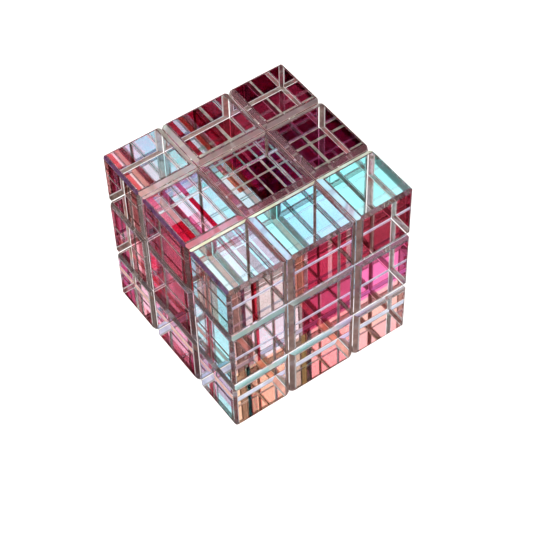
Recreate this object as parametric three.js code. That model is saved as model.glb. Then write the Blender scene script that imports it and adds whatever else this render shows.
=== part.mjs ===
// Clear acrylic display cube laid up from twenty-seven blocks with
// colour-shifting film bonded between them. Millimetres, +Z up, origin at the
// centre of the underside. X runs left to right, Y runs front to back.
import * as THREE from "three";
import { ConvexGeometry } from "three/addons/geometries/ConvexGeometry.js";

// ---- driving dimensions (mm) ------------------------------------------------
const SIDE = 60.0;         // outside of the finished cube
const OUTER_LAYER = 18.8;  // face of the cube to the middle of a glue line
const GLUE_GAP = 0.3;      // block to block across a glue line
const FILM = 0.2;          // film thickness, centred in the glue line
const GROOVE_HALF = 1.7;   // half width of the V groove, from the middle of a glue line
const GROOVE_DEPTH = 0.85; // depth of the V groove below the face
const FILM_INSET = 1.0;    // film edge below the face, just under the root of the groove
const EDGE_BREAK = 0.75;   // leg of the 45 degree chamfer on the twelve outer edges

const SAME_POINT = 1e-5;      // corners closer than this are one corner
const PLANE_TOLERANCE = 1e-6; // a corner this far outside a plane still counts as on it
const MIN_DETERMINANT = 1e-9; // below this, three planes share no single point

// ---- colours and finish -----------------------------------------------------
const ACRYLIC = { color: 0xdfe6ea, opacity: 0.35 };
const FILM_OPACITY = 0.6;
// one colour for each of the two glue lines along an axis, low side first
const SHEET_COLOURS = [0xb02a55, 0x7a2048];
const STRIP_COLOURS = [0xe58fa0, 0x5fc7cf];
const SQUARE_COLOURS = [0xf0b08c, 0xd64f86];

// ---- layers along one axis, the same for X, Y and Z ---------------------------
// measured from the low face of the cube; the middle layer is the widest
const GLUE_LINES = [OUTER_LAYER, SIDE - OUTER_LAYER];
const LAYERS = [
  [0, GLUE_LINES[0] - GLUE_GAP / 2],
  [GLUE_LINES[0] + GLUE_GAP / 2, GLUE_LINES[1] - GLUE_GAP / 2],
  [GLUE_LINES[1] + GLUE_GAP / 2, SIDE],
];

// how far a film reaches across the whole cube, and inside each layer
const FILM_FULL = [FILM_INSET, SIDE - FILM_INSET];
const FILM_IN_LAYER = LAYERS.map(([low, high]) => [
  Math.max(low, FILM_FULL[0]),
  Math.min(high, FILM_FULL[1]),
]);
const FILM_IN_GLUE = GLUE_LINES.map((line) => [line - FILM / 2, line + FILM / 2]);

const COLUMNS = ["left", "centre", "right"]; // along X
const SLABS = ["front", "middle", "back"];   // along Y
const LEVELS = ["lower", "mid", "upper"];    // along Z

// ---- block: a box trimmed by its chamfer and groove planes --------------------
// a plane keeps the side where normal . point <= limit

// the six faces of the box; an outer face lies on the outside of the cube
function blockFaces(layerIndices) {
  return layerIndices.flatMap((layer, axis) => {
    const [low, high] = LAYERS[layer];
    return [
      { axis, normal: axisNormal(axis, -1), limit: -low, outer: layer === 0 },
      { axis, normal: axisNormal(axis, 1), limit: high, outer: layer === 2 },
    ];
  });
}

function axisNormal(axis, sign) {
  return new THREE.Vector3().setComponent(axis, sign);
}

// the bevel between two faces that meet: a chamfer where both are outer,
// one flank of a V groove where one of them is glued
function bevelPlane(faceA, faceB) {
  const isChamfer = faceA.outer && faceB.outer;
  const normal = new THREE.Vector3();
  let limit = -1;
  for (const face of [faceA, faceB]) {
    // a groove is measured from the middle of the glue line
    const reach = face.limit + (face.outer ? 0 : GLUE_GAP / 2);
    const grooveLeg = face.outer ? GROOVE_DEPTH : GROOVE_HALF;
    const leg = isChamfer ? EDGE_BREAK : grooveLeg; // along this face's normal
    normal.addScaledVector(face.normal, 1 / leg);
    limit += reach / leg;
  }
  const length = normal.length();
  return { normal: normal.divideScalar(length), limit: limit / length };
}

function blockPlanes(layerIndices) {
  const faces = blockFaces(layerIndices);
  const planes = [...faces];
  faces.forEach((faceA, i) => {
    for (const faceB of faces.slice(i + 1)) {
      const meet = faceA.axis !== faceB.axis;
      if (meet && (faceA.outer || faceB.outer)) planes.push(bevelPlane(faceA, faceB));
    }
  });
  return planes;
}

// the point shared by three planes, or null if they have none
function sharedPoint(planeA, planeB, planeC) {
  const rows = [planeA, planeB, planeC].flatMap((plane) => plane.normal.toArray());
  const matrix = new THREE.Matrix3().set(...rows);
  if (Math.abs(matrix.determinant()) < MIN_DETERMINANT) return null;
  return new THREE.Vector3(planeA.limit, planeB.limit, planeC.limit)
    .applyMatrix3(matrix.invert());
}

// the convex solid whose corners are the shared points inside every plane
function solidFromPlanes(planes) {
  const corners = [];
  const keepCorner = (point) => {
    const inside = planes.every(
      ({ normal, limit }) => normal.dot(point) <= limit + PLANE_TOLERANCE,
    );
    const known = corners.some((corner) => corner.distanceTo(point) < SAME_POINT);
    if (inside && !known) corners.push(point);
  };
  for (let i = 0; i < planes.length; i++) {
    for (let j = i + 1; j < planes.length; j++) {
      for (let k = j + 1; k < planes.length; k++) {
        const point = sharedPoint(planes[i], planes[j], planes[k]);
        if (point) keepCorner(point);
      }
    }
  }
  return new ConvexGeometry(corners);
}

// ---- assembly ---------------------------------------------------------------
const cube = new THREE.Group();
cube.name = "acrylic_display_cube";

// pieces are built from the cube's low corner, then centred in X and Y
function addPiece(name, geometry, { color, opacity }) {
  geometry.translate(-SIDE / 2, -SIDE / 2, 0);
  const material = new THREE.MeshStandardMaterial({
    name: `${name}_mat`,
    color,
    roughness: 0.08,
    metalness: 0.0,
    transparent: true,
    opacity,
  });
  const mesh = new THREE.Mesh(geometry, material);
  mesh.name = name;
  cube.add(mesh);
}

// a flat film given by its [low, high] span along X, Y and Z
function addFilm(name, color, spans) {
  const size = spans.map(([low, high]) => high - low);
  const middle = spans.map(([low, high]) => (low + high) / 2);
  const geometry = new THREE.BoxGeometry(...size).translate(...middle);
  addPiece(name, geometry, { color, opacity: FILM_OPACITY });
}

// names the glue line between a layer and the next one up its axis
const between = (names, line) => `${names[line]}_to_${names[line + 1]}`;

// blocks: three columns in each of three slabs, three levels in each column
SLABS.forEach((slab, iy) => {
  COLUMNS.forEach((column, ix) => {
    LEVELS.forEach((level, iz) => {
      const geometry = solidFromPlanes(blockPlanes([ix, iy, iz]));
      addPiece(`block_${slab}_${column}_${level}`, geometry, ACRYLIC);
    });
  });
});

// film sheets: one over the whole glue line between two slabs
SHEET_COLOURS.forEach((color, line) => {
  addFilm(`film_sheet_${between(SLABS, line)}`, color,
    [FILM_FULL, FILM_IN_GLUE[line], FILM_FULL]);
});

// film strips: inside one slab, between two neighbouring columns, full height
SLABS.forEach((slab, iy) => {
  STRIP_COLOURS.forEach((color, line) => {
    addFilm(`film_strip_${slab}_${between(COLUMNS, line)}`, color,
      [FILM_IN_GLUE[line], FILM_IN_LAYER[iy], FILM_FULL]);
  });
});

// film squares: inside one column, between two neighbouring levels
SLABS.forEach((slab, iy) => {
  COLUMNS.forEach((column, ix) => {
    SQUARE_COLOURS.forEach((color, line) => {
      addFilm(`film_square_${slab}_${column}_${between(LEVELS, line)}`, color,
        [FILM_IN_LAYER[ix], FILM_IN_LAYER[iy], FILM_IN_GLUE[line]]);
    });
  });
});

export default cube;
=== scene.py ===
"""Clear acrylic cube of grooved blocks with colour-shifting films between them.

The cube is 60 mm a side and stands on z = 0, centred on the z axis. Its front faces -y
and its left side faces -x. Sheets of film part the slabs front to back, strips part the
columns left to right, and level squares part the layers.
"""
import math

import bpy
from mathutils import Matrix, Vector


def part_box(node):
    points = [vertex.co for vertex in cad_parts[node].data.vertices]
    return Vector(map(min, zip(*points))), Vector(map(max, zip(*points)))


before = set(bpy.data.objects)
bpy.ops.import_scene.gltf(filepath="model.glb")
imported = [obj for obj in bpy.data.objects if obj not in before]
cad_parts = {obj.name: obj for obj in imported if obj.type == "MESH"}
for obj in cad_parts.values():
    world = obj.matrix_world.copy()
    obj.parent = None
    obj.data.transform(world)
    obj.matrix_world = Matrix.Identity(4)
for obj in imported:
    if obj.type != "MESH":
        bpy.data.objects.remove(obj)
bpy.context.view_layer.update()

# ---------------------------------------------------------------- dimensions (metres)
SIDE_MM = 60.0           # side of the cube; places in the tint tables are in mm too
SIDE = SIDE_MM / 1000
HALF = SIDE / 2
SEAM = 0.0112            # seams between blocks, from the middle of the cube
GROOVE_HALF = 0.0017     # half width of a V groove at the face
EDGE_BREAK = 0.00075     # chamfer on the cube's outer edges
FACE_EDGE_SHADE = 0.00026       # painted shade: a dark line along the edges of a face
GROOVE_FOOT = 0.00026    # half width of the line at the bottom of a groove
WALL_EDGE_SHADE = 0.00010       # depth of the painted shade, a darker line where a groove wall meets the face
WALL_EDGE_SHADE_SOFT = 0.00003
LINE_SOFT = 0.00006      # softness of the edges of all other lines
GROOVE_REFLECTION_SOFT = 0.001     # the same for the painted reflections of grooves on the films, as a share of the side

X, Y, Z = range(3)

IOR = 1.49
POLARISED = 1.0          # share of the outside reflection that is cut
BLACK = (0, 0, 0)


def srgb(*channels):
    """8 bit display colour to the linear colour the shaders use."""
    linear = []
    for c in channels:
        c /= 255.0
        linear.append(c / 12.92 if c <= 0.04045 else ((c + 0.055) / 1.055) ** 2.4)
    return (*linear, 1.0)


# ---------------------------------------------------------------- node helpers
def feed(tree, socket, value):
    """Link a socket to another node's output, or set it to a plain value."""
    if isinstance(value, bpy.types.NodeSocket):
        tree.links.new(value, socket)
    else:
        socket.default_value = value


def add(tree, kind, **values):
    """New shader node; an underscore in an input's name stands for a space."""
    made = tree.nodes.new("ShaderNode" + kind)
    for name, value in values.items():
        feed(tree, made.inputs[name.replace("_", " ")], value)
    return made


def closure(tree, kind, **values):
    return add(tree, kind, **values).outputs[0]


def new_material(name):
    """Empty node material: the material, its tree and the surface socket to feed."""
    material = bpy.data.materials.new(name)
    material.use_nodes = True
    tree = material.node_tree
    tree.nodes.clear()
    return material, tree, add(tree, "OutputMaterial").inputs["Surface"]


def ramp(tree, place, stops, interpolation="LINEAR"):
    """Colour read off a ramp. stops: (position, RGB or RGBA colour)."""
    made = add(tree, "ValToRGB", Fac=place)
    made.color_ramp.interpolation = interpolation
    elements = made.color_ramp.elements
    while len(elements) < len(stops):
        elements.new(0.5)
    for element, (position, colour) in zip(elements, stops):
        element.position = position
        element.color = colour if len(colour) == 4 else (*colour, 1.0)
    return made.outputs["Color"]


def calc(tree, operation, *values, clamp=False):
    made = tree.nodes.new("ShaderNodeMath")
    made.operation = operation
    made.use_clamp = clamp
    for socket, value in zip(made.inputs, values):
        feed(tree, socket, value)
    return made.outputs[0]


def fold(tree, operation, values):
    """Chain a two-input operation, such as MINIMUM, over several values."""
    result, *rest = values
    for value in rest:
        result = calc(tree, operation, result, value)
    return result


def map_range(tree, value, start, end, to_start=0.0, to_end=1.0, smooth=False):
    made = add(
        tree, "MapRange", Value=value,
        From_Min=start, From_Max=end, To_Min=to_start, To_Max=to_end,
    )
    if smooth:
        made.interpolation_type = "SMOOTHSTEP"
    return made.outputs["Result"]


def rise(tree, value, start, end):
    """Smooth step from 0 to 1."""
    return map_range(tree, value, start, end, smooth=True)


def fall(tree, value, start, end):
    """Smooth step from 1 to 0."""
    return map_range(tree, value, start, end, 1.0, 0.0, smooth=True)


def band(tree, value, width, soft=LINE_SOFT):
    """1 where value is under width, with a soft edge."""
    return map_range(tree, value, width - soft, width + soft, 1.0, 0.0)


def blend(tree, share, first, second):
    """Mix two shaders; share is how much of the second there is."""
    made = tree.nodes.new("ShaderNodeMixShader")
    for socket, value in zip(made.inputs, (share, first, second)):
        feed(tree, socket, value)
    return made.outputs[0]


def mix_colour(tree, share, first, second, mode="MIX"):
    made = add(tree, "MixRGB", Fac=share, Color1=first, Color2=second)
    made.blend_type = mode
    return made.outputs["Color"]


def object_noise(tree, scale, detail=2.0, rough=0.5, seed=0.0):
    coordinates = add(tree, "TexCoord").outputs["Object"]
    # the seed slides the pattern by a different amount along each axis
    moved = add(
        tree, "Mapping", Vector=coordinates, Location=(seed, seed * 0.37, seed * 0.71)
    )
    return add(
        tree, "TexNoise", Vector=moved.outputs["Vector"],
        Scale=scale, Detail=detail, Roughness=rough,
    ).outputs["Fac"]


def coordinate(tree, axis):
    place = add(tree, "TexCoord").outputs["Object"]
    return add(tree, "SeparateXYZ", Vector=place).outputs[axis]


def along_axis(tree, axis):
    """Place along one axis, 0 to 1 over the cube's side."""
    start = 0.0 if axis == Z else 0.5
    return calc(tree, "MULTIPLY_ADD", coordinate(tree, axis), 1.0 / SIDE, start)


def axis_reach(tree, axis):
    """How far from the cube's middle along one axis, unsigned."""
    value = coordinate(tree, axis)
    if axis == Z:
        value = calc(tree, "SUBTRACT", value, HALF)
    return calc(tree, "ABSOLUTE", value)


def seam_distance(tree, axis):
    return calc(tree, "ABSOLUTE", calc(tree, "SUBTRACT", axis_reach(tree, axis), SEAM))


def patchwork(tree, axis, row_axis, rows, interpolation="CONSTANT", wobble=None):
    """Tints laid side by side along one axis, in rows along another.

    rows: (end of the row in mm, [(start in mm, display tint), ...]).
    """
    place = along_axis(tree, axis)
    height = along_axis(tree, row_axis)
    if wobble is not None:
        offset = calc(tree, "MULTIPLY_ADD", wobble, 0.12, -0.06)
        place = calc(tree, "ADD", place, offset, clamp=True)
    colour = None
    for end, bars in rows:
        stops = [(start / SIDE_MM, srgb(*tint)) for start, tint in bars]
        row = ramp(tree, place, stops, interpolation)
        if colour is None:
            colour = row
        else:
            step = rise(tree, height, below / SIDE_MM - 0.002, below / SIDE_MM + 0.002)
            colour = mix_colour(tree, step, colour, row)
        below = end
    return colour


def satin_line(tree, tones, clear):
    """Satin trace in two tones; clear is the share that lets the view through."""
    grain = object_noise(tree, scale=520.0, detail=3.0, rough=0.6)
    tone = ramp(tree, grain, [(0.3, srgb(*tones[0])), (0.7, srgb(*tones[1]))])
    diffuse = closure(tree, "BsdfDiffuse", Color=tone)
    translucent = closure(tree, "BsdfTranslucent", Color=tone)
    transparent = closure(tree, "BsdfTransparent")
    return blend(tree, clear, blend(tree, 0.5, diffuse, translucent), transparent)


def let_light_through(tree, shader, tint=(1, 1, 1, 1)):
    """Lamps and bounced light pass straight through, so the table under the cube is lit."""
    path = add(tree, "LightPath").outputs
    passing = calc(tree, "MAXIMUM", path["Is Shadow Ray"], path["Is Diffuse Ray"])
    return blend(tree, passing, shader, closure(tree, "BsdfTransparent", Color=tint))


# ---------------------------------------------------------------- clear acrylic
def painted_edge_shade(tree, normal):
    """Mask of painted shade: 1 in a thin line along every edge of a face, the grooves' and
    the cube's.
    """
    parts = add(tree, "SeparateXYZ", Vector=normal).outputs
    near = []
    for axis in range(3):
        lip = calc(tree, "SUBTRACT", seam_distance(tree, axis), GROOVE_HALF)
        rim = calc(tree, "SUBTRACT", HALF - EDGE_BREAK, axis_reach(tree, axis))
        # a face is never near an edge along its own normal
        away = calc(tree, "MULTIPLY", calc(tree, "ABSOLUTE", parts[axis]), 1.0)
        near.append(calc(tree, "ADD", calc(tree, "MINIMUM", lip, rim), away))
    return band(tree, fold(tree, "MINIMUM", near), FACE_EDGE_SHADE)


def polished(name, rough, tint, satin=None, share=0.35, edge_shaded=False):
    """Polished surface of a clear block: it refracts and bears faint handling marks.

    rough: least and most roughness. satin: two tones laid over it by share.
    """
    material, tree, surface = new_material(name)
    marks = object_noise(tree, scale=420.0, detail=3.0, rough=0.6)
    roughness = map_range(tree, marks, 0.45, 0.75, *rough)
    glass = closure(
        tree, "BsdfPrincipled", Base_Color=tint, Transmission_Weight=1.0,
        IOR=IOR, Roughness=roughness,
    )
    # as through a polariser: no room is mirrored on the outside
    refraction = closure(tree, "BsdfRefraction", Color=tint, IOR=IOR, Roughness=roughness)
    geometry = add(tree, "NewGeometry").outputs
    outside = calc(tree, "SUBTRACT", 1.0, geometry["Backfacing"])
    cut = calc(tree, "MULTIPLY", outside, POLARISED)
    shader = blend(tree, cut, glass, refraction)
    if satin is not None:
        shader = blend(tree, share, shader, satin_line(tree, satin, clear=0.0))
    # painted shade: a thin dark line along every edge of the face, the grooves' and the
    # cube's
    if edge_shaded:
        line = painted_edge_shade(tree, geometry["Normal"])
        dark = satin_line(tree, ((86, 72, 72), (120, 104, 102)), clear=0.35)
        shader = blend(tree, line, shader, dark)
    feed(tree, surface, let_light_through(tree, shader))
    return material


# painted highlight: the pale line at the bottom of most grooves
PAINTED_HIGHLIGHT_VALLEY = ((196, 202, 196), (232, 236, 232))


def groove_wall(name, satin, seed, tones=None, along=None, valley=PAINTED_HIGHLIGHT_VALLEY):
    """Machined wall of a V groove, satin in part (satin is the share) and clear in part.

    tones: dark, mid and light satin tones, painted light: the reflections, highlights and
    shade seen in a wall of this facing. along: (axis, row axis, rows) for painted tones that
    change along the groove instead. valley: tones of the line at the bottom, also painted
    lighter or darker for each facing.
    """
    material, tree, surface = new_material(name)
    grain = object_noise(tree, scale=260.0, detail=4.0, rough=0.65, seed=seed)
    # painted light: the wall's satin tones stand in for the reflections and shade seen in a
    # wall of this facing
    if along is None:
        stops = [(at, srgb(*tone)) for at, tone in zip((0.30, 0.55, 0.80), tones)]
        colour = ramp(tree, grain, stops)
    else:
        colour = patchwork(tree, *along, "LINEAR", grain)
    glass = closure(
        tree, "BsdfPrincipled", Transmission_Weight=1.0, IOR=IOR, Roughness=0.03,
        Base_Color=(0.9, 0.87, 0.86, 1),
    )
    diffuse = closure(tree, "BsdfDiffuse", Color=colour)
    translucent = closure(tree, "BsdfTranslucent", Color=colour)
    shader = blend(tree, satin, glass, blend(tree, 0.45, diffuse, translucent))
    # the line at the bottom of the groove, in tones painted lighter or darker for each facing
    seams = fold(tree, "MINIMUM", [seam_distance(tree, axis) for axis in range(3)])
    foot = band(tree, seams, GROOVE_FOOT)
    shader = blend(tree, foot, shader, satin_line(tree, valley, clear=0.25))
    # painted shade: a darker line where the wall meets the face
    depths = [calc(tree, "SUBTRACT", HALF, axis_reach(tree, axis)) for axis in range(3)]
    lip = band(tree, fold(tree, "MINIMUM", depths), WALL_EDGE_SHADE, WALL_EDGE_SHADE_SOFT)
    dark = satin_line(tree, ((70, 56, 58), (104, 88, 88)), clear=0.30)
    shader = blend(tree, lip, shader, dark)
    feed(tree, surface, let_light_through(tree, shader, tint=(0.80, 0.78, 0.77, 1)))
    return material


def bonded(name):
    """Cemented face: the block carries on optically into its neighbour."""
    material, tree, surface = new_material(name)
    haze = object_noise(tree, scale=90.0)
    tone = ramp(tree, haze, [(0.3, (0.992, 0.992, 0.992)), (0.7, (1.0, 1.0, 1.0))])
    feed(tree, surface, closure(tree, "BsdfTransparent", Color=tone))
    return material


def film_rim(name):
    """Cut edge of a film."""
    material, tree, surface = new_material(name)
    grain = object_noise(tree, scale=300.0)
    tone = ramp(tree, grain, [(0.35, srgb(88, 72, 74)), (0.7, srgb(140, 120, 118))])
    diffuse = closure(tree, "BsdfDiffuse", Color=tone)
    feed(tree, surface, blend(tree, 0.35, diffuse, closure(tree, "BsdfTransparent")))
    return material


FACE = polished(
    "acrylic_polished_face", rough=(0.0, 0.012), tint=(0.985, 0.992, 0.992, 1), edge_shaded=True
)
# Painted light on the chamfers: the darkening tint and satin tones of the plain chamfer are
# painted edge shade; the purple and crimson of the top-left and top-back chamfers are painted
# views of the films seen through them.
CHAMFER_PAINTED_SHADE = polished(
    "acrylic_edge_chamfer_painted_shade", rough=(0.02, 0.06), tint=(0.62, 0.55, 0.53, 1),
    satin=((92, 78, 74), (150, 136, 130)),
)
CHAMFER_TOP_LEFT_PAINTED_LIGHT = polished(
    "acrylic_edge_chamfer_top_left_painted_light", rough=(0.02, 0.06), tint=(0.50, 0.36, 0.50, 1),
    satin=((62, 40, 66), (108, 80, 110)), share=0.70,
)
CHAMFER_TOP_BACK_PAINTED_LIGHT = polished(
    "acrylic_edge_chamfer_top_back_painted_light", rough=(0.02, 0.06), tint=(0.62, 0.12, 0.18, 1),
    satin=((112, 22, 40), (160, 60, 72)), share=0.70,
)

# painted light and shade of the line at the bottom of these grooves
TOP_SIDE_VALLEY = ((150, 128, 122), (196, 178, 170))
UNDER_VALLEY = ((110, 84, 80), (146, 120, 112))
# groove_wall arguments, by the face the groove is in and the way it runs or leans.
# Their tones are painted light: each facing has its own painted reflections, highlights and
# shade.
GROOVE_PAINTED_LIGHT = {
    "front_upright": dict(
        tones=((100, 84, 80), (130, 112, 106), (160, 142, 134)), satin=0.84, seed=3.1,
        valley=((118, 100, 94), (164, 148, 140)),
    ),
    "front_lying_up": dict(
        satin=0.42, seed=5.2,
        along=(X, Z, [
            (30.0, [(0, (172, 236, 234)), (16, (150, 216, 216)), (24, (150, 222, 222)),
                    (34, (182, 214, 232)), (42, (168, 146, 190)), (50, (170, 158, 160)),
                    (60, (164, 148, 142))]),
            (60.0, [(0, (190, 232, 224)), (12, (166, 214, 206)), (20, (160, 196, 188)),
                    (34, (176, 176, 172)), (42, (158, 140, 150)), (60, (150, 140, 138))]),
        ]),
    ),
    "front_lying_down": dict(
        tones=((110, 98, 100), (142, 128, 130), (176, 164, 166)), satin=0.35, seed=7.9,
    ),
    "left_upright": dict(
        tones=((54, 38, 36), (74, 56, 52), (98, 78, 72)), satin=0.76, seed=21.3,
        valley=((66, 50, 48), (112, 94, 88)),
    ),
    "left_lying": dict(
        tones=((70, 54, 52), (94, 76, 72), (122, 102, 96)), satin=0.74, seed=23.7,
        valley=((84, 68, 64), (128, 110, 104)),
    ),
    "top_near": dict(
        satin=0.60, seed=9.4, valley=((186, 190, 170), (226, 232, 206)),
        along=(X, Y, [
            (30.0, [(0, (238, 250, 206)), (12, (232, 244, 214)), (22, (226, 244, 200)),
                    (30, (204, 206, 180)), (60, (196, 206, 186))]),
            (60.0, [(0, (196, 180, 172)), (20, (160, 152, 146)), (60, (132, 126, 124))]),
        ]),
    ),
    "top_far": dict(
        satin=0.60, seed=11.3, valley=((150, 140, 132), (200, 192, 180)),
        along=(X, Y, [
            (30.0, [(0, (206, 150, 160)), (14, (198, 132, 148)), (22, (130, 84, 94)),
                    (34, (96, 62, 70)), (60, (104, 76, 80))]),
            (60.0, [(0, (200, 176, 170)), (20, (156, 146, 142)), (60, (130, 124, 124))]),
        ]),
    ),
    "top_left": dict(
        satin=0.55, seed=13.7, valley=TOP_SIDE_VALLEY,
        along=(Y, X, [
            (30.0, [(0, (140, 84, 84)), (17, (134, 90, 90)), (20, (98, 58, 66)),
                    (40, (112, 74, 78)), (44, (164, 140, 134)), (60, (150, 150, 140))]),
            (60.0, [(0, (150, 108, 104)), (17, (144, 98, 96)), (20, (92, 66, 72)),
                    (40, (98, 74, 80)), (44, (92, 66, 72)), (60, (106, 84, 86))]),
        ]),
    ),
    "top_right": dict(
        satin=0.42, seed=15.1, valley=TOP_SIDE_VALLEY,
        along=(Y, X, [
            (30.0, [(0, (196, 208, 236)), (17, (190, 204, 232)), (20, (150, 104, 112)),
                    (40, (146, 106, 112)), (44, (196, 190, 178)), (60, (190, 206, 196))]),
            (60.0, [(0, (198, 208, 238)), (17, (192, 202, 234)), (20, (120, 98, 102)),
                    (40, (108, 88, 92)), (44, (106, 84, 88)), (60, (118, 98, 98))]),
        ]),
    ),
    "under_across": dict(
        tones=((168, 178, 204), (198, 210, 234), (222, 232, 250)), satin=0.72, seed=17.6,
    ),
    "under_right": dict(
        tones=((194, 142, 132), (220, 168, 156), (238, 194, 180)), satin=0.70, seed=18.3,
        valley=UNDER_VALLEY,
    ),
    "under_left": dict(
        tones=((78, 54, 54), (98, 72, 70), (122, 96, 92)), satin=0.74, seed=18.9,
        valley=UNDER_VALLEY,
    ),
    "rear": dict(
        tones=((108, 92, 86), (140, 124, 116), (170, 156, 146)), satin=0.62, seed=19.9,
    ),
}
WALLS = {kind: groove_wall("groove_" + kind, **look) for kind, look in GROOVE_PAINTED_LIGHT.items()}
BOND = bonded("acrylic_bonded_face")
RIM = film_rim("film_cut_edge")

# ---------------------------------------------------------------- colour-shifting film
# Spans of 1 - cos(angle off the film's normal) over which an effect comes or goes.
STRAIGHT_LEVEL = (0.22, 0.30)    # looking straight through a level film
STRAIGHT_UPRIGHT = (0.32, 0.42)  # looking straight through an upright film
GRAZING = (0.42, 0.55)

# Tones of the cement lines
GREY_GREEN = ((102, 108, 100), (164, 168, 156))
ROSE_GREY = ((150, 130, 130), (206, 194, 192))
UMBER = ((52, 32, 34), (104, 72, 72))
TAUPE = ((92, 76, 72), (146, 128, 120))
LILAC = ((190, 194, 226), (238, 240, 255))
DUSK = ((96, 78, 76), (150, 134, 130))


def film(name, seed, passes, throws, lines, painted_light_patches=None, painted_light_drift=None, level=False,
         painted_groove_reflections=()):
    """Film that lets one colour through and mirrors another, by the angle of view.

    passes, throws: ramps of the two colours against 1 - cos(angle off the normal).
    lines: (axis across the seams, tones, half width in mm, fades at grazing angles).
    painted_light_patches: (axis, row axis, rows) of tints met when looking straight through,
    painted light: the highlights, reflections and coloured light seen there.
    painted_light_drift: (axis, passes, throws) tints met at grazing angles, painted light and
    shade that change along the axis.
    painted_groove_reflections: (axis, place, half width) in mm of lines seen when looking
    straight through, painted reflections of grooves.
    """
    material, tree, surface = new_material(name)
    straight = STRAIGHT_LEVEL if level else STRAIGHT_UPRIGHT
    facing = add(tree, "LayerWeight", Blend=0.5).outputs["Facing"]
    wave = object_noise(tree, scale=55.0, seed=seed)
    shift = calc(tree, "MULTIPLY_ADD", wave, 0.05, -0.025)
    angle = calc(tree, "ADD", facing, shift, clamp=True)
    passed = ramp(tree, angle, passes)
    mirrored = ramp(tree, angle, throws)
    if painted_light_patches is not None:
        share = fall(tree, angle, *straight)
        passed = mix_colour(tree, share, passed, patchwork(tree, *painted_light_patches), "MULTIPLY")
    if painted_light_drift is not None:
        axis, painted_light_passes, painted_light_throws = painted_light_drift
        share = rise(tree, angle, *GRAZING)
        place = along_axis(tree, axis)
        tint = ramp(tree, place, painted_light_passes)
        passed = mix_colour(tree, share, passed, tint, "MULTIPLY")
        tint = ramp(tree, place, painted_light_throws)
        mirrored = mix_colour(tree, share, mirrored, tint, "MULTIPLY")
    coating = tree.nodes.new("ShaderNodeAddShader")
    feed(tree, coating.inputs[0], closure(tree, "BsdfTransparent", Color=passed))
    mirror = closure(tree, "BsdfGlossy", Roughness=0.0, Color=mirrored)
    feed(tree, coating.inputs[1], mirror)
    shader = coating.outputs[0]
    # painted reflections of grooves: satin lines seen when looking straight through
    if painted_groove_reflections:
        traces = []
        for axis, place, half_width in painted_groove_reflections:
            offset = calc(tree, "SUBTRACT", along_axis(tree, axis), place / SIDE_MM)
            away = calc(tree, "ABSOLUTE", offset)
            traces.append(band(tree, away, half_width / SIDE_MM, GROOVE_REFLECTION_SOFT))
        fine = fold(tree, "MAXIMUM", traces)
        fine = calc(tree, "MULTIPLY", fine, fall(tree, angle, *straight))
        tones = lines[0][1] if level else UMBER
        shader = blend(tree, fine, shader, satin_line(tree, tones, clear=0.25))
    # the cement lines between blocks show as thin satin traces across the film
    for axis, tones, half_width, fades in lines:
        line = band(tree, seam_distance(tree, axis), half_width / 1000.0)
        if fades:
            kept = calc(tree, "MULTIPLY_ADD", rise(tree, angle, *GRAZING), -0.80, 1.0)
            line = calc(tree, "MULTIPLY", line, kept)
        shader = blend(tree, line, shader, satin_line(tree, tones, clear=0.18))
    feed(tree, surface, let_light_through(tree, shader, tint=(0.985, 0.968, 0.972, 1)))
    return material


# Upright films. Values of 1 - cos met inside the block: 0.18 sheets through the front,
# 0.22 strips through the left side, 0.65 and 0.76 at grazing angles.
SHEET_LINES = ((X, TAUPE, 0.45, False), (Z, LILAC, 0.60, True))
STRIP_LINES = ((Y, TAUPE, 0.45, False), (Z, DUSK, 0.50, False))

FRONT_SHEET = dict(
    lines=SHEET_LINES,
    passes=[(0.0, (0.97, 0.97, 0.97)), (0.34, (0.97, 0.97, 0.97)), (0.48, (0.85, 0.35, 0.40)),
            (0.62, (0.66, 0.12, 0.20)), (0.8, (0.45, 0.06, 0.10))],
    throws=[(0.0, BLACK), (0.25, BLACK), (0.48, (0.10, 0.40, 0.45)),
            (0.62, (0.34, 0.97, 0.97)), (0.8, (0.55, 0.97, 0.97))],
    # painted light: highlights, reflections and coloured light seen through the sheet, by
    # place
    painted_light_patches=(X, Z, [
        (12.1, [(0, (244, 208, 178)), (9.0, (78, 116, 116)), (10.3, (196, 156, 132)),
                (12.0, (242, 196, 166)), (24.0, (200, 180, 164)), (28.0, (210, 190, 138)),
                (30.0, (150, 154, 144)), (31.5, (250, 192, 176)), (44.0, (255, 206, 196))]),
        (29.0, [(0, (218, 184, 178)), (10.0, (172, 142, 142)), (11.5, (238, 228, 228)),
                (13.0, (196, 78, 98)), (14.0, (226, 226, 230)), (24.0, (198, 164, 160)),
                (26.0, (236, 228, 230)), (28.5, (196, 90, 118)), (34.0, (230, 156, 170)),
                (35.0, (194, 90, 118)), (42.0, (204, 146, 160)), (47.0, (186, 104, 212)),
                (49.0, (255, 144, 194))]),
        (60.0, [(0, (208, 172, 168)), (8.8, (152, 112, 128)), (10.0, (228, 224, 222)),
                (12.0, (194, 70, 84)), (13.6, (152, 132, 128)), (14.6, (228, 224, 218)),
                (24.0, (192, 152, 142)), (26.5, (222, 166, 148)), (29.5, (238, 228, 222)),
                (30.5, (198, 84, 110)), (37.5, (226, 186, 182)), (38.8, (190, 78, 100)),
                (44.0, (172, 142, 138)), (47.0, (186, 84, 104)), (52.0, (238, 218, 212)),
                (53.0, (174, 78, 98))]),
    ]),
    # painted light: brighter towards the left and darker towards the right at grazing angles
    painted_light_drift=(X, [(0.26, (0.72, 0.95, 0.98)), (0.44, (0.26, 0.20, 0.28))],
           [(0.26, (1.22, 0.86, 0.92)), (0.44, (1, 1, 1))]),
)
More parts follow.
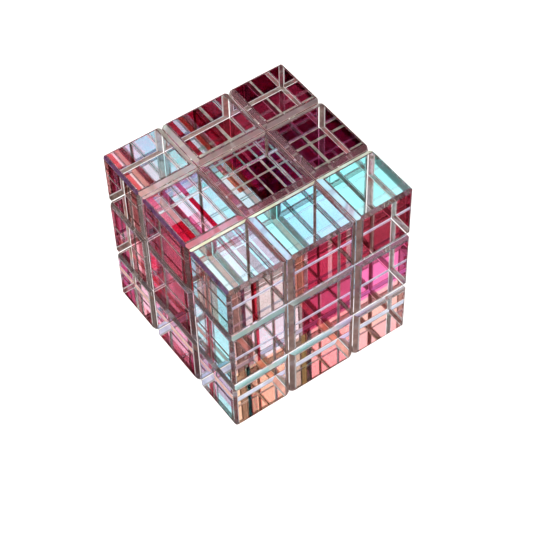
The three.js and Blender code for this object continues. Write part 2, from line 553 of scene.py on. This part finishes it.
BACK_SHEET = dict(
    lines=SHEET_LINES,
    passes=[(0.0, (0.97, 0.93, 0.92)), (0.34, (0.96, 0.90, 0.90)), (0.48, (0.80, 0.30, 0.38)),
            (0.62, (0.66, 0.10, 0.22)), (0.8, (0.45, 0.05, 0.12))],
    throws=[(0.0, BLACK), (0.25, BLACK), (0.48, (0.20, 0.35, 0.40)),
            (0.62, (0.34, 0.88, 0.86)), (0.8, (0.50, 0.92, 0.90))],
    # painted shade: darker towards the right at grazing angles
    painted_light_drift=(X, [(0.66, (1, 1, 1)), (0.71, (0.62, 0.46, 0.66))],
           [(0.66, (1, 1, 1)), (0.71, (0.40, 0.18, 0.26))]),
)
LEFT_STRIP = dict(
    lines=STRIP_LINES,
    passes=[(0.0, (0.97, 0.96, 0.96)), (0.34, (0.97, 0.95, 0.95)), (0.48, (0.80, 0.35, 0.40)),
            (0.65, (0.66, 0.14, 0.24)), (0.8, (0.58, 0.10, 0.18))],
    throws=[(0.0, BLACK), (0.28, BLACK), (0.48, (0.20, 0.45, 0.48)),
            (0.65, (0.40, 0.86, 0.86)), (0.8, (0.46, 0.90, 0.90))],
    # painted light: highlights, reflections and coloured light seen through the strip, by
    # place
    painted_light_patches=(Y, Z, [
        (6.2, [(0, (255, 196, 212)), (18.8, (240, 192, 198)), (27.0, (240, 190, 202)),
               (41.2, (255, 210, 230))]),
        (28.6, [(0, (250, 255, 255)), (17.4, (216, 112, 130)), (20.6, (246, 184, 156)),
                (25.0, (232, 184, 176)), (27.0, (186, 108, 122)), (36.5, (212, 126, 142)),
                (41.2, (184, 106, 118)), (45.0, (255, 144, 164)), (48.4, (194, 116, 130)),
                (54.6, (255, 188, 200))]),
        (60.0, [(0, (230, 250, 250)), (13.6, (230, 192, 178)), (17.0, (240, 182, 162)),
                (18.8, (212, 148, 140)), (27.2, (156, 90, 102)), (29.5, (200, 112, 126)),
                (41.2, (176, 114, 110)), (49.6, (204, 156, 146)), (52.4, (166, 104, 106)),
                (55.4, (255, 230, 226)), (57.2, (168, 124, 118))]),
    ]),
    # painted reflections of grooves across the strip
    painted_groove_reflections=((Y, 16.9, 0.36), (Y, 30.9, 0.30), (Y, 43.2, 0.50), (Y, 56.6, 0.50)),
)
RIGHT_STRIP = dict(
    lines=STRIP_LINES,
    passes=[(0.0, (0.97, 0.95, 0.95)), (0.34, (0.96, 0.94, 0.94)), (0.48, (0.78, 0.30, 0.38)),
            (0.65, (0.66, 0.20, 0.34)), (0.8, (0.60, 0.16, 0.28))],
    throws=[(0.0, BLACK), (0.28, BLACK), (0.48, (0.20, 0.42, 0.48)),
            (0.65, (0.40, 0.66, 0.70)), (0.8, (0.44, 0.70, 0.74))],
)

# Level films, met at 0.09 from above and 0.48 through the sides.
# (slab, column): lower and upper film, each (colour from above, through the sides)
PATCHED = (0.98, 0.98, 0.98)  # from above, these take their colour from SQUARE_PAINTED_LIGHT
SQUARES = {
    ("front", "left"): (
        ((0.97, 0.98, 0.98), (0.94, 0.90, 0.90)), (PATCHED, (0.92, 0.88, 0.88))),
    ("front", "centre"): (
        ((0.96, 0.98, 0.98), (0.92, 0.80, 0.84)), ((0.97, 0.98, 0.98), (0.90, 0.74, 0.78))),
    ("front", "right"): (
        ((0.95, 0.98, 0.98), (0.95, 0.78, 0.92)), ((0.96, 0.98, 0.98), (0.90, 0.70, 0.76))),
    ("middle", "left"): (
        ((0.96, 0.95, 0.96), (0.92, 0.84, 0.86)), (PATCHED, (0.92, 0.84, 0.86))),
    ("middle", "centre"): (
        (PATCHED, (0.92, 0.78, 0.82)), (PATCHED, (0.90, 0.74, 0.78))),
    # painted in: the dark plum from above on this and the back right square is what is seen
    # beyond the films, not their own colour
    ("middle", "right"): (
        ((0.37, 0.10, 0.23), (0.94, 0.78, 0.90)), ((0.41, 0.13, 0.25), (0.90, 0.70, 0.76))),
    ("back", "left"): (
        ((0.95, 0.90, 0.92), (0.95, 0.90, 0.90)), (PATCHED, (0.94, 0.88, 0.90))),
    ("back", "centre"): (
        (PATCHED, (0.95, 0.88, 0.88)), (PATCHED, (0.92, 0.84, 0.86))),
    ("back", "right"): (
        ((0.38, 0.09, 0.17), (0.95, 0.88, 0.88)), ((0.43, 0.13, 0.21), (0.92, 0.84, 0.86))),
}
FRONT_LINES = ((X, UMBER, 0.62, False),)
LEFT_LINES = ((X, ROSE_GREY, 0.48, False), (Y, ROSE_GREY, 0.48, False))
DARK_LINES = ((X, GREY_GREEN, 0.50, False), (Y, GREY_GREEN, 0.50, False))

# (slab, column, 0 lower or 1 upper): painted reflections of grooves, as lines on that film
SQUARE_GROOVE_REFLECTIONS = {
    ("middle", "centre", 1): (
        (X, 34.2, 0.30), (X, 38.6, 0.36), (Y, 24.8, 0.30), (Y, 36.2, 0.34)),
    ("middle", "centre", 0): ((Y, 45.0, 0.70),),
    ("middle", "right", 1): (
        (X, 46.0, 0.34), (X, 53.4, 0.46), (Y, 29.0, 0.34), (Y, 37.4, 0.44)),
    ("middle", "right", 0): ((X, 56.2, 0.50), (Y, 41.6, 0.60)),
    ("back", "centre", 1): ((X, 36.4, 0.50), (Y, 46.6, 0.36), (Y, 51.8, 0.50)),
    ("back", "centre", 0): ((Y, 56.0, 0.70),),
    ("back", "right", 1): (
        (X, 46.6, 0.50), (X, 54.0, 0.34), (Y, 45.8, 0.36), (Y, 51.4, 0.50)),
    ("back", "right", 0): ((Y, 55.6, 0.60),),
}
# The same keys: tints met from above, as bars along x in rows along y, painted light: the
# highlights, reflections and dark plum seen through that film
SQUARE_PAINTED_LIGHT = {
    ("front", "left", 1): (X, Y, [
        (60.0, [(0, (230, 248, 240)), (15.0, (206, 186, 184)), (17.4, (214, 244, 240))]),
    ]),
    ("middle", "left", 1): (X, Y, [
        (35.5, [(0, (208, 44, 74)), (8.8, (228, 238, 234)), (10.2, (208, 112, 146)),
                (11.6, (234, 196, 206)), (14.3, (186, 32, 62)), (15.8, (214, 246, 246))]),
        (60.0, [(0, (216, 132, 150)), (7.0, (238, 226, 230)), (9.6, (206, 108, 140)),
                (10.8, (232, 240, 240)), (14.3, (186, 32, 62)), (15.8, (206, 240, 242))]),
    ]),
    ("back", "left", 1): (X, Y, [
        (48.0, [(0, (232, 176, 186)), (7.8, (234, 226, 230)), (9.6, (206, 150, 164)),
                (11.2, (226, 214, 218)), (14.6, (204, 236, 240)), (17.4, (190, 96, 120))]),
        (60.0, [(0, (222, 112, 116)), (6.4, (236, 210, 210)), (8.8, (200, 120, 132)),
                (10.4, (214, 226, 230)), (14.4, (196, 232, 238))]),
    ]),
    ("middle", "centre", 1): (X, Y, [
        (34.2, [(0, (150, 100, 106)), (25.6, (220, 255, 255)), (30.4, (110, 64, 66)),
                (31.6, (130, 76, 96)), (33.2, (108, 22, 64))]),
        (60.0, [(0, (150, 106, 112)), (24.6, (226, 240, 238)), (27.0, (190, 120, 100)),
                (28.6, (206, 226, 230)), (30.2, (176, 110, 96)), (31.8, (150, 90, 120)),
                (33.4, (104, 26, 62)), (37.0, (96, 18, 60))]),
    ]),
    ("middle", "centre", 0): (X, Y, [
        (60.0, [(0, (240, 240, 240)), (37.4, (150, 60, 104)), (41.0, (120, 24, 84))]),
    ]),
    ("back", "centre", 0): (X, Y, [
        (60.0, [(0, (236, 226, 230)), (38.0, (206, 150, 172)), (40.0, (150, 60, 100))]),
    ]),
    ("back", "centre", 1): (X, Y, [
        (50.0, [(0, (150, 120, 122)), (27.4, (200, 216, 226)), (29.8, (196, 120, 100)),
                (31.4, (206, 160, 172)), (33.0, (164, 54, 78)), (36.0, (158, 110, 122))]),
        (60.0, [(0, (166, 60, 76)), (27.0, (204, 222, 230)), (29.0, (186, 96, 92)),
                (30.6, (214, 190, 196)), (32.0, (172, 64, 82))]),
    ]),
}


def square_film(name, seed):
    """Coating of a level film, looked up by the slab, column and layer in its name."""
    _, _, slab, column, lower, _, _ = name.split("_")
    layer = 0 if lower == "lower" else 1
    top, side = SQUARES[(slab, column)][layer]

    def opposite(strength):
        return tuple(max(0.0, strength * (1 - v)) for v in side)

    return film(
        name + "_coating", seed,
        passes=[(0.0, top), (0.14, top), (0.44, side), (0.6, side),
                (0.8, tuple(v * 0.6 for v in side))],
        throws=[(0.0, BLACK), (0.22, BLACK), (0.44, opposite(0.20)),
                (0.6, opposite(0.5)), (0.8, opposite(0.9))],
        lines=(FRONT_LINES if slab == "front"
               else LEFT_LINES if column == "left" else DARK_LINES),
        painted_light_patches=SQUARE_PAINTED_LIGHT.get((slab, column, layer)),
        level=True,
        painted_groove_reflections=SQUARE_GROOVE_REFLECTIONS.get((slab, column, layer), ()),
    )


# ---------------------------------------------------------------- dress the CAD nodes
BLOCK_SLOTS = [FACE, CHAMFER_PAINTED_SHADE, BOND, CHAMFER_TOP_LEFT_PAINTED_LIGHT, CHAMFER_TOP_BACK_PAINTED_LIGHT, *WALLS.values()]


def wall_kind(normal):
    """Which groove wall this is, from its normal.

    The larger part says which face the groove is in, the smaller which way it leans.
    Walls in the top are named by their side of the groove, those in the front and
    underneath by the way they lean. "rear" takes in the right side as well.
    """
    face, lean, _ = sorted(range(3), key=lambda axis: -abs(normal[axis]))
    if face == Z:
        if normal.z < 0:
            if lean == Y:
                return "under_across"
            return "under_right" if normal.x > 0 else "under_left"
        if lean == Y:
            return "top_near" if normal.y > 0 else "top_far"
        return "top_left" if normal.x > 0 else "top_right"
    if normal[face] > 0:
        return "rear"
    if face == X:
        return "left_lying" if lean == Z else "left_upright"
    if lean == Z:
        return "front_lying_up" if normal.z > 0 else "front_lying_down"
    return "front_upright"


def block_surface(polygon):
    """Material of one polygon of a block."""
    normal = polygon.normal
    largest, second, _ = sorted((abs(v) for v in normal), reverse=True)
    if largest > 0.999:
        axis = max(range(3), key=lambda k: abs(normal[k]))
        reach = polygon.center[axis] * math.copysign(1, normal[axis])
        if axis == Z:
            skin = SIDE if normal.z > 0 else 0.0
        else:
            skin = HALF
        return FACE if abs(reach - skin) < 1e-5 else BOND
    if abs(largest - second) < 0.02:
        if normal.x < -0.5 and normal.z > 0.5:
            return CHAMFER_TOP_LEFT_PAINTED_LIGHT
        if normal.y > 0.5 and normal.z > 0.5:
            return CHAMFER_TOP_BACK_PAINTED_LIGHT
        return CHAMFER_PAINTED_SHADE
    return WALLS[wall_kind(normal)]


def dress(piece, slots, choose):
    """Give a piece its materials, flat shaded; choose picks one for each polygon."""
    mesh = piece.data
    mesh.materials.clear()
    for material in slots:
        mesh.materials.append(material)
    for polygon in mesh.polygons:
        polygon.material_index = slots.index(choose(polygon))
        polygon.use_smooth = False


def dress_film(piece, coating):
    """Coating on one side of the film, cement on the other, cut edges around."""
    low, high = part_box(piece.name)
    thin = min(range(3), key=lambda axis: high[axis] - low[axis])

    def film_surface(polygon):
        across = polygon.normal[thin]
        return coating if across > 0.9 else BOND if across < -0.9 else RIM

    dress(piece, [coating, BOND, RIM], film_surface)


seed = 0.0
for name, piece in sorted(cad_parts.items()):
    if name.startswith("block_"):
        dress(piece, BLOCK_SLOTS, block_surface)
        continue
    seed += 1.7
    if name.startswith("film_sheet_"):
        look = FRONT_SHEET if name == "film_sheet_front_to_middle" else BACK_SHEET
        dress_film(piece, film(name + "_coating", seed, **look))
    elif name.startswith("film_strip_"):
        look = LEFT_STRIP if name.endswith("left_to_centre") else RIGHT_STRIP
        dress_film(piece, film(name + "_coating", seed, **look))
    else:
        dress_film(piece, square_film(name, seed))


# ---------------------------------------------------------------- table, room and light
def pale_table():
    material, tree, surface = new_material("pale_table")
    mottle = object_noise(tree, scale=60.0, detail=3.0)
    tone = ramp(tree, mottle, [(0.3, (0.86, 0.86, 0.86)), (0.7, (0.89, 0.89, 0.89))])
    feed(tree, surface, closure(tree, "BsdfPrincipled", Roughness=0.7, Base_Color=tone))
    return material


bpy.ops.mesh.primitive_plane_add(size=0.9, location=(0, 0, -0.0003))
table = bpy.context.object
table.name = "table_top"
table.data.materials.append(pale_table())

# Direction of the ceiling panel's middle, and the angles where it is full and gone
PANEL_DIRECTION = (0.354, 0.518, 0.779)
PANEL_FULL = math.radians(14)
PANEL_GONE = math.radians(24)


def room_light():
    """Warm room, darker below, with a soft ceiling panel; the camera sees pale grey."""
    world = bpy.data.worlds.new("room")
    bpy.context.scene.world = world
    world.use_nodes = True
    tree = world.node_tree
    tree.nodes.clear()
    output = add(tree, "OutputWorld")
    view = add(tree, "TexCoord").outputs["Generated"]
    parts = add(tree, "SeparateXYZ", Vector=view).outputs
    room = ramp(tree, parts["Z"], [
        (0.0, srgb(84, 72, 68)), (0.30, srgb(122, 108, 102)),
        (0.75, srgb(172, 160, 154)), (1.0, srgb(220, 216, 212)),
    ])
    # unsigned x and y repeat the panel in all four quarters
    shares = [calc(tree, "ABSOLUTE", parts[axis]) for axis in (X, Y)] + [parts["Z"]]
    toward = fold(tree, "ADD", [
        calc(tree, "MULTIPLY", share, part) for share, part in zip(shares, PANEL_DIRECTION)
    ])
    panel = rise(tree, toward, math.cos(PANEL_GONE), math.cos(PANEL_FULL))
    lit = mix_colour(tree, panel, room, (1.25, 1.25, 1.25, 1))
    camera_ray = add(tree, "LightPath").outputs["Is Camera Ray"]
    seen = mix_colour(tree, camera_ray, lit, (0.92, 0.92, 0.92, 1))
    background = closure(tree, "Background", Color=seen, Strength=1.0)
    feed(tree, output.inputs[0], background)


def softbox(name, location, size, energy):
    """Square lamp aimed at the middle of the cube, hidden from mirrored and bent rays."""
    light = bpy.data.lights.new(name, "AREA")
    light.shape = "SQUARE"
    light.size = size
    light.energy = energy
    lamp = bpy.data.objects.new(name, light)
    bpy.context.scene.collection.objects.link(lamp)
    lamp.location = location
    away = Vector(location) - Vector((0, 0, HALF))
    lamp.rotation_euler = away.to_track_quat("Z", "Y").to_euler()
    lamp.visible_glossy = False
    lamp.visible_transmission = False


room_light()
softbox("key_softbox", location=(-0.45, -0.35, 0.70), size=0.45, energy=6.2)
softbox("fill_softbox", location=(0.30, 0.65, 0.55), size=0.40, energy=2.5)

# ---------------------------------------------------------------- camera
CAMERA_PLACE = (-0.16318, -0.24526, 0.38273)
CAMERA_RIGHT = Vector((0.811908, -0.583462, -0.019413))
CAMERA_UP = Vector((0.464573, 0.625618, 0.626716))
CAMERA_FORWARD = Vector((0.35352, 0.517855, -0.779006))

lens = bpy.data.cameras.new("camera")
lens.sensor_width = 36.0
lens.lens = 107.706
lens.clip_start = 0.01
lens.clip_end = 10.0
camera = bpy.data.objects.new("camera", lens)
scene = bpy.context.scene
scene.collection.objects.link(camera)
pose = Matrix((CAMERA_RIGHT, CAMERA_UP, -CAMERA_FORWARD)).transposed().to_4x4()
pose.translation = Vector(CAMERA_PLACE)
camera.matrix_world = pose
scene.camera = camera

# ---------------------------------------------------------------- render
# many bounces, as light crosses a whole stack of blocks and films
scene.cycles.max_bounces = 40
scene.cycles.transmission_bounces = 32
scene.cycles.glossy_bounces = 24
scene.cycles.diffuse_bounces = 4
scene.cycles.transparent_max_bounces = 128
scene.cycles.caustics_reflective = True
scene.cycles.caustics_refractive = True
scene.view_settings.view_transform = "Standard"
scene.view_settings.look = "Medium High Contrast"
